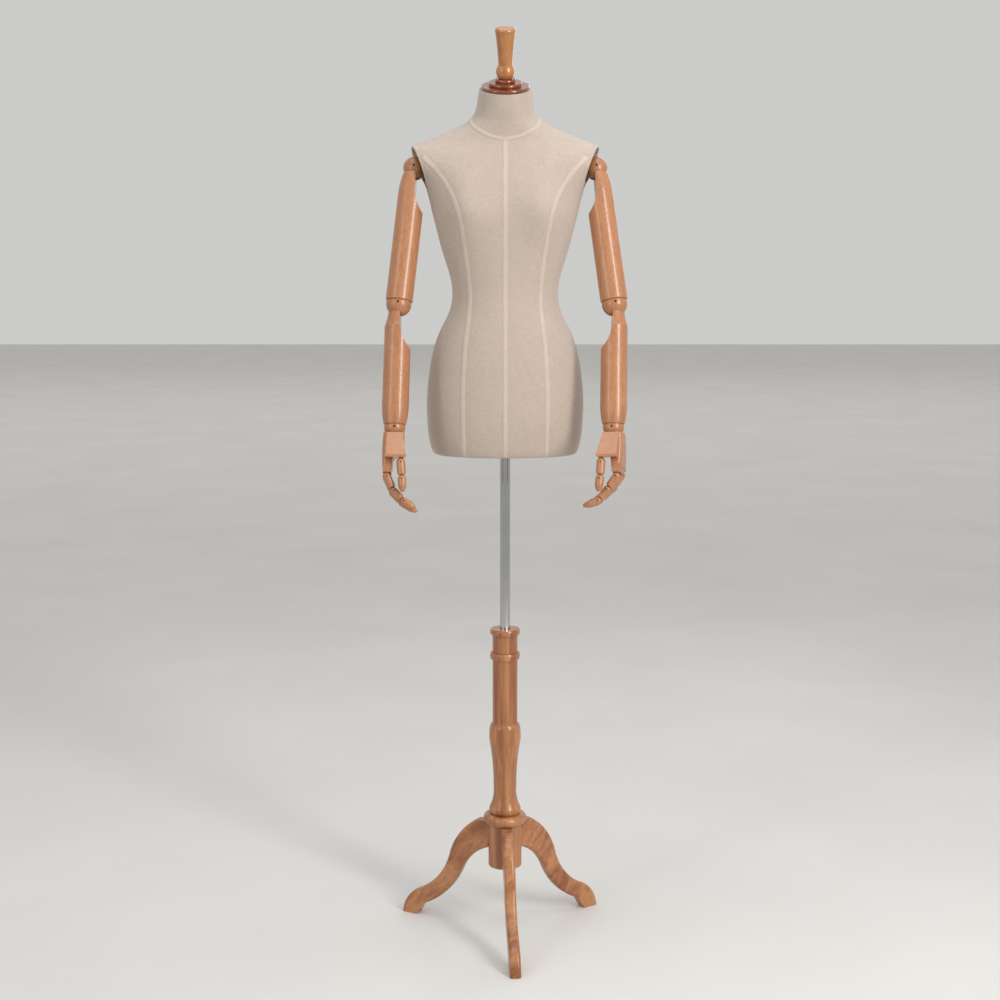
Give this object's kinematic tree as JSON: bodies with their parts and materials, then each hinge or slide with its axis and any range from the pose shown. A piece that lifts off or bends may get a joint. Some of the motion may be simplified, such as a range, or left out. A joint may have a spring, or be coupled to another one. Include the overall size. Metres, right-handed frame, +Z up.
{
  "type": "dress form mannequin",
  "caption": "Linen-covered female dress form with jointed wooden arms and hands, a turned neck finial and a height-adjustable pole on a turned tripod stand.",
  "frame": {"origin": "on the floor, on the axis of the pole, below the middle of the tripod", "axes": "+Z up, the form faces -Y, +X towards its right-hand arm as seen from the front"},
  "size_m": [0.5105, 0.4103, 1.9648],
  "materials": {
    "stand_wood": "stained and varnished, satin",
    "arm_wood": "beech, semi-gloss varnish",
    "neck_wood": "dark reddish stain, glossy",
    "finial_wood": "light varnish, semi-gloss",
    "linen": "plain-woven natural linen",
    "moulded_shell": "moulded, unpainted",
    "board": "plain board",
    "dark_board": "dark stained board, satin",
    "steel": "plain steel",
    "dark_plastic": "black moulded",
    "chrome": "polished"
  },
  "bodies": {
    "stand": {"column": "stand_wood", "base_collar": "stand_wood", "hub_block": "stand_wood", "leg_front": "stand_wood", "leg_right": "stand_wood", "leg_left": "stand_wood", "leg_bolts": "steel", "lock_collet": "dark_plastic"},
    "lock_sleeve": {"lock_sleeve": "stand_wood"},
    "pole": {"pole": "chrome"},
    "torso": {"torso_cover": "linen", "torso_shell": "moulded_shell", "base_board": "board", "pole_socket": "steel", "neck_block": "neck_wood", "finial": "finial_wood", "armhole_plates": "dark_board", "shoulder_hooks": "steel"},
    "right_shoulder_ball": {"right_shoulder_ball": "arm_wood"},
    "right_upper_arm": {"right_upper_arm": "arm_wood"},
    "right_elbow_knuckle": {"right_elbow_knuckle": "arm_wood"},
    "right_forearm": {"right_forearm": "arm_wood"},
    "right_wrist_knuckle": {"right_wrist_knuckle": "arm_wood"},
    "right_palm": {"right_palm": "arm_wood"},
    "right_index_base": {"right_index_base": "arm_wood"},
    "right_index_middle": {"right_index_middle": "arm_wood"},
    "right_index_tip": {"right_index_tip": "arm_wood"},
    "right_middle_base": {"right_middle_base": "arm_wood"},
    "right_middle_middle": {"right_middle_middle": "arm_wood"},
    "right_middle_tip": {"right_middle_tip": "arm_wood"},
    "right_ring_base": {"right_ring_base": "arm_wood"},
    "right_ring_middle": {"right_ring_middle": "arm_wood"},
    "right_ring_tip": {"right_ring_tip": "arm_wood"},
    "right_little_base": {"right_little_base": "arm_wood"},
    "right_little_middle": {"right_little_middle": "arm_wood"},
    "right_little_tip": {"right_little_tip": "arm_wood"},
    "right_thumb_base": {"right_thumb_base": "arm_wood"},
    "right_thumb_tip": {"right_thumb_tip": "arm_wood"},
    "left_shoulder_ball": {"left_shoulder_ball": "arm_wood"},
    "left_upper_arm": {"left_upper_arm": "arm_wood"},
    "left_elbow_knuckle": {"left_elbow_knuckle": "arm_wood"},
    "left_forearm": {"left_forearm": "arm_wood"},
    "left_wrist_knuckle": {"left_wrist_knuckle": "arm_wood"},
    "left_palm": {"left_palm": "arm_wood"},
    "left_index_base": {"left_index_base": "arm_wood"},
    "left_index_middle": {"left_index_middle": "arm_wood"},
    "left_index_tip": {"left_index_tip": "arm_wood"},
    "left_middle_base": {"left_middle_base": "arm_wood"},
    "left_middle_middle": {"left_middle_middle": "arm_wood"},
    "left_middle_tip": {"left_middle_tip": "arm_wood"},
    "left_ring_base": {"left_ring_base": "arm_wood"},
    "left_ring_middle": {"left_ring_middle": "arm_wood"},
    "left_ring_tip": {"left_ring_tip": "arm_wood"},
    "left_little_base": {"left_little_base": "arm_wood"},
    "left_little_middle": {"left_little_middle": "arm_wood"},
    "left_little_tip": {"left_little_tip": "arm_wood"},
    "left_thumb_base": {"left_thumb_base": "arm_wood"},
    "left_thumb_tip": {"left_thumb_tip": "arm_wood"}
  },
  "joints": [
    {"name": "lock_turn", "type": "hinge", "parent": "stand", "child": "lock_sleeve", "pos_m": [0, 0, 0.666], "axis": [0, 0, 1], "range_deg": [0, 150]},
    {"name": "pole_height", "type": "slide", "parent": "stand", "child": "pole", "axis": [0, 0, 1], "range_m": [-0.17, 0.15]},
    {"name": "torso_swivel", "type": "hinge", "parent": "pole", "child": "torso", "pos_m": [0, 0, 1.29], "axis": [0, 0, 1], "continuous": true},
    {"name": "right_shoulder_swing", "type": "hinge", "parent": "torso", "child": "right_shoulder_ball", "pos_m": [0.1905, 0, 1.682], "axis": [-1, 0, 0], "range_deg": [-55, 85]},
    {"name": "right_shoulder_lift", "type": "hinge", "parent": "right_shoulder_ball", "child": "right_upper_arm", "pos_m": [0.1905, 0, 1.682], "axis": [0, -0.9703, 0.2419], "range_deg": [-2, 80]},
    {"name": "right_elbow_twist", "type": "hinge", "parent": "right_upper_arm", "child": "right_elbow_knuckle", "pos_m": [0.22767, -0.07019, 1.40049], "axis": [-0.1271, 0.24, 0.9624], "range_deg": [-85, 85]},
    {"name": "right_elbow_bend", "type": "hinge", "parent": "right_elbow_knuckle", "child": "right_forearm", "pos_m": [0.22767, -0.07019, 1.40049], "axis": [0, 0.9703, -0.2419], "range_deg": [-8, 31]},
    {"name": "right_wrist_twist", "type": "hinge", "parent": "right_forearm", "child": "right_wrist_knuckle", "pos_m": [0.22358, -0.13308, 1.14824], "axis": [0.0157, 0.2419, 0.9702], "range_deg": [-80, 80]},
    {"name": "right_wrist_bend", "type": "hinge", "parent": "right_wrist_knuckle", "child": "right_palm", "pos_m": [0.22358, -0.13308, 1.14824], "axis": [0.2588, 0.9363, -0.2376], "range_deg": [-25, 25]},
    {"name": "right_index_base_bend", "type": "hinge", "parent": "right_palm", "child": "right_index_base", "pos_m": [0.22677, -0.18597, 1.05315], "axis": [0.2588, 0.9363, -0.2376], "range_deg": [-36, 44]},
    {"name": "right_index_middle_bend", "type": "hinge", "parent": "right_index_base", "child": "right_index_middle", "pos_m": [0.20762, -0.18749, 1.02632], "axis": [0.2588, 0.9363, -0.2376], "range_deg": [-2, 73]},
    {"name": "right_index_tip_bend", "type": "hinge", "parent": "right_index_middle", "child": "right_index_tip", "pos_m": [0.19001, -0.18847, 1.0033], "axis": [0.2588, 0.9363, -0.2376], "range_deg": [-28, 12]},
    {"name": "right_middle_base_bend", "type": "hinge", "parent": "right_palm", "child": "right_middle_base", "pos_m": [0.23124, -0.17017, 1.04708], "axis": [0.2588, 0.9363, -0.2376], "range_deg": [-38, 42]},
    {"name": "right_middle_middle_bend", "type": "hinge", "parent": "right_middle_base", "child": "right_middle_middle", "pos_m": [0.20999, -0.17135, 1.01929], "axis": [0.2588, 0.9363, -0.2376], "range_deg": [-8, 67]},
    {"name": "right_middle_tip_bend", "type": "hinge", "parent": "right_middle_middle", "child": "right_middle_tip", "pos_m": [0.18812, -0.17087, 0.99733], "axis": [0.2588, 0.9363, -0.2376], "range_deg": [-30, 10]},
    {"name": "right_ring_base_bend", "type": "hinge", "parent": "right_palm", "child": "right_ring_base", "pos_m": [0.23579, -0.15315, 1.04585], "axis": [0.2588, 0.9363, -0.2376], "range_deg": [-36, 44]},
    {"name": "right_ring_middle_bend", "type": "hinge", "parent": "right_ring_base", "child": "right_ring_middle", "pos_m": [0.21664, -0.15466, 1.01902], "axis": [0.2588, 0.9363, -0.2376], "range_deg": [-12, 63]},
    {"name": "right_ring_tip_bend", "type": "hinge", "parent": "right_ring_middle", "child": "right_ring_tip", "pos_m": [0.19552, -0.15387, 0.99916], "axis": [0.2588, 0.9363, -0.2376], "range_deg": [-28, 12]},
    {"name": "right_little_base_bend", "type": "hinge", "parent": "right_palm", "child": "right_little_base", "pos_m": [0.24039, -0.13541, 1.04754], "axis": [0.2588, 0.9363, -0.2376], "range_deg": [-32, 48]},
    {"name": "right_little_middle_bend", "type": "hinge", "parent": "right_little_base", "child": "right_little_middle", "pos_m": [0.22568, -0.13737, 1.02379], "axis": [0.2588, 0.9363, -0.2376], "range_deg": [-14, 61]},
    {"name": "right_little_tip_bend", "type": "hinge", "parent": "right_little_middle", "child": "right_little_tip", "pos_m": [0.20875, -0.137, 1.00679], "axis": [0.2588, 0.9363, -0.2376], "range_deg": [-26, 14]},
    {"name": "right_thumb_base_bend", "type": "hinge", "parent": "right_palm", "child": "right_thumb_base", "pos_m": [0.19505, -0.1887, 1.0832], "axis": [0.2588, 0.9363, -0.2376], "range_deg": [-4, 36]},
    {"name": "right_thumb_tip_bend", "type": "hinge", "parent": "right_thumb_base", "child": "right_thumb_tip", "pos_m": [0.19223, -0.1963, 1.05019], "axis": [0.2588, 0.9363, -0.2376], "range_deg": [-2, 43]},
    {"name": "left_shoulder_swing", "type": "hinge", "parent": "torso", "child": "left_shoulder_ball", "pos_m": [-0.1905, 0, 1.682], "axis": [-1, 0, 0], "range_deg": [-55, 85]},
    {"name": "left_shoulder_lift", "type": "hinge", "parent": "left_shoulder_ball", "child": "left_upper_arm", "pos_m": [-0.1905, 0, 1.682], "axis": [0, 0.9703, -0.2419], "range_deg": [-2, 80]},
    {"name": "left_elbow_twist", "type": "hinge", "parent": "left_upper_arm", "child": "left_elbow_knuckle", "pos_m": [-0.22209, -0.07035, 1.39985], "axis": [-0.108, -0.2405, -0.9646], "range_deg": [-85, 85]},
    {"name": "left_elbow_bend", "type": "hinge", "parent": "left_elbow_knuckle", "child": "left_forearm", "pos_m": [-0.22209, -0.07035, 1.39985], "axis": [0, -0.9703, 0.2419], "range_deg": [-4, 31]},
    {"name": "left_wrist_twist", "type": "hinge", "parent": "left_forearm", "child": "left_wrist_knuckle", "pos_m": [-0.2289, -0.13323, 1.14766], "axis": [-0.0262, -0.2418, -0.97], "range_deg": [-80, 80]},
    {"name": "left_wrist_bend", "type": "hinge", "parent": "left_wrist_knuckle", "child": "left_palm", "pos_m": [-0.2289, -0.13323, 1.14766], "axis": [0.0349, -0.9699, 0.2409], "range_deg": [-25, 25]},
    {"name": "left_index_base_bend", "type": "hinge", "parent": "left_palm", "child": "left_index_base", "pos_m": [-0.24272, -0.18427, 1.05251], "axis": [0.0349, -0.9699, 0.2409], "range_deg": [-28, 52]},
    {"name": "left_index_middle_bend", "type": "hinge", "parent": "left_index_base", "child": "left_index_middle", "pos_m": [-0.22801, -0.19088, 1.02372], "axis": [0.0349, -0.9699, 0.2409], "range_deg": [-18, 57]},
    {"name": "left_index_tip_bend", "type": "hinge", "parent": "left_index_middle", "child": "left_index_tip", "pos_m": [-0.20769, -0.19518, 1.00347], "axis": [0.0349, -0.9699, 0.2409], "range_deg": [-14, 26]},
    {"name": "left_middle_base_bend", "type": "hinge", "parent": "left_palm", "child": "left_middle_base", "pos_m": [-0.24338, -0.16787, 1.04637], "axis": [0.0349, -0.9699, 0.2409], "range_deg": [-26, 54]},
    {"name": "left_middle_middle_bend", "type": "hinge", "parent": "left_middle_base", "child": "left_middle_middle", "pos_m": [-0.22888, -0.17506, 1.01534], "axis": [0.0349, -0.9699, 0.2409], "range_deg": [-20, 55]},
    {"name": "left_middle_tip_bend", "type": "hinge", "parent": "left_middle_middle", "child": "left_middle_tip", "pos_m": [-0.20716, -0.17965, 0.9937], "axis": [0.0349, -0.9699, 0.2409], "range_deg": [-16, 24]},
    {"name": "left_ring_base_bend", "type": "hinge", "parent": "left_palm", "child": "left_ring_base", "pos_m": [-0.24391, -0.15027, 1.04509], "axis": [0.0349, -0.9699, 0.2409], "range_deg": [-22, 58]},
    {"name": "left_ring_middle_bend", "type": "hinge", "parent": "left_ring_base", "child": "left_ring_middle", "pos_m": [-0.23236, -0.15733, 1.015], "axis": [0.0349, -0.9699, 0.2409], "range_deg": [-22, 53]},
    {"name": "left_ring_tip_bend", "type": "hinge", "parent": "left_ring_middle", "child": "left_ring_tip", "pos_m": [-0.21278, -0.16182, 0.99408], "axis": [0.0349, -0.9699, 0.2409], "range_deg": [-16, 24]},
    {"name": "left_little_base_bend", "type": "hinge", "parent": "left_palm", "child": "left_little_base", "pos_m": [-0.24436, -0.13194, 1.04672], "axis": [0.0349, -0.9699, 0.2409], "range_deg": [-18, 62]},
    {"name": "left_little_middle_bend", "type": "hinge", "parent": "left_little_base", "child": "left_little_middle", "pos_m": [-0.23641, -0.13814, 1.0206], "axis": [0.0349, -0.9699, 0.2409], "range_deg": [-22, 53]},
    {"name": "left_little_tip_bend", "type": "hinge", "parent": "left_little_middle", "child": "left_little_tip", "pos_m": [-0.22148, -0.14217, 1.00224], "axis": [0.0349, -0.9699, 0.2409], "range_deg": [-16, 24]},
    {"name": "left_thumb_base_bend", "type": "hinge", "parent": "left_palm", "child": "left_thumb_base", "pos_m": [-0.21289, -0.19407, 1.08301], "axis": [0.0349, -0.9699, 0.2409], "range_deg": [-6, 34]},
    {"name": "left_thumb_tip_bend", "type": "hinge", "parent": "left_thumb_base", "child": "left_thumb_tip", "pos_m": [-0.21023, -0.20215, 1.05009], "axis": [0.0349, -0.9699, 0.2409], "range_deg": [0, 47]}
  ]
}
